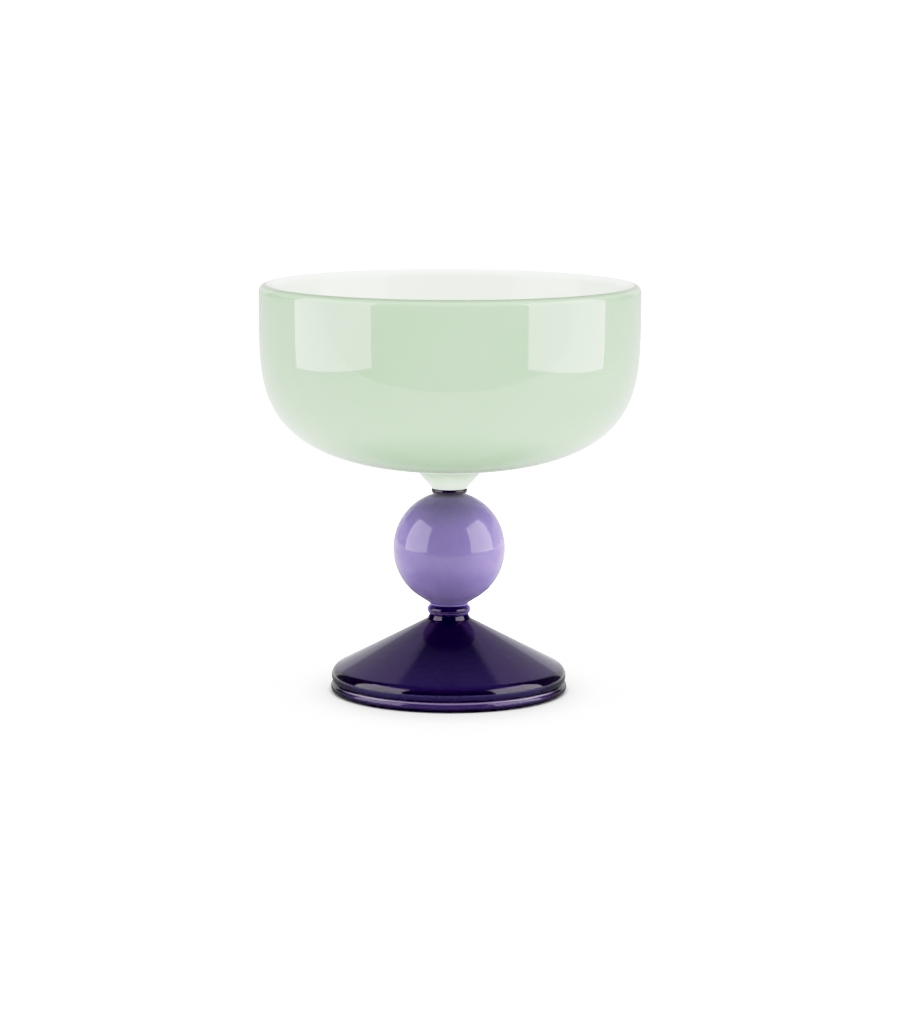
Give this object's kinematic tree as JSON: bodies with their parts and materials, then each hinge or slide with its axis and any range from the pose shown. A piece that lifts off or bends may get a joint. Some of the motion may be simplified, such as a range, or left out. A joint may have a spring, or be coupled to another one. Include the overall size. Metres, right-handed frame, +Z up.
{
  "type": "stemmed ice cream cup",
  "caption": "Empty stemmed ice cream cup of coloured glass: a wide round bowl on a collar, a ball, a bead and a hollow cone foot.",
  "frame": {"origin": "middle of the foot's base ring, on the table", "axes": "+Z up along the cup's axis; the cup is round, so +X and +Y are any two level directions at right angles"},
  "size_m": [0.11, 0.11, 0.1187],
  "materials": {
    "mint_glass": "glossy opaque mint green opal glass, white inside",
    "indigo_glass": "glossy near-black indigo glass",
    "lilac_glass": "milky lilac opal glass, polished",
    "purple_glass": "very dark purple clear glass, polished"
  },
  "bodies": {
    "root": {"bowl": "mint_glass", "upper_collar": "indigo_glass", "ball": "lilac_glass", "bead": "purple_glass", "foot": "purple_glass"}
  },
  "joints": []
}
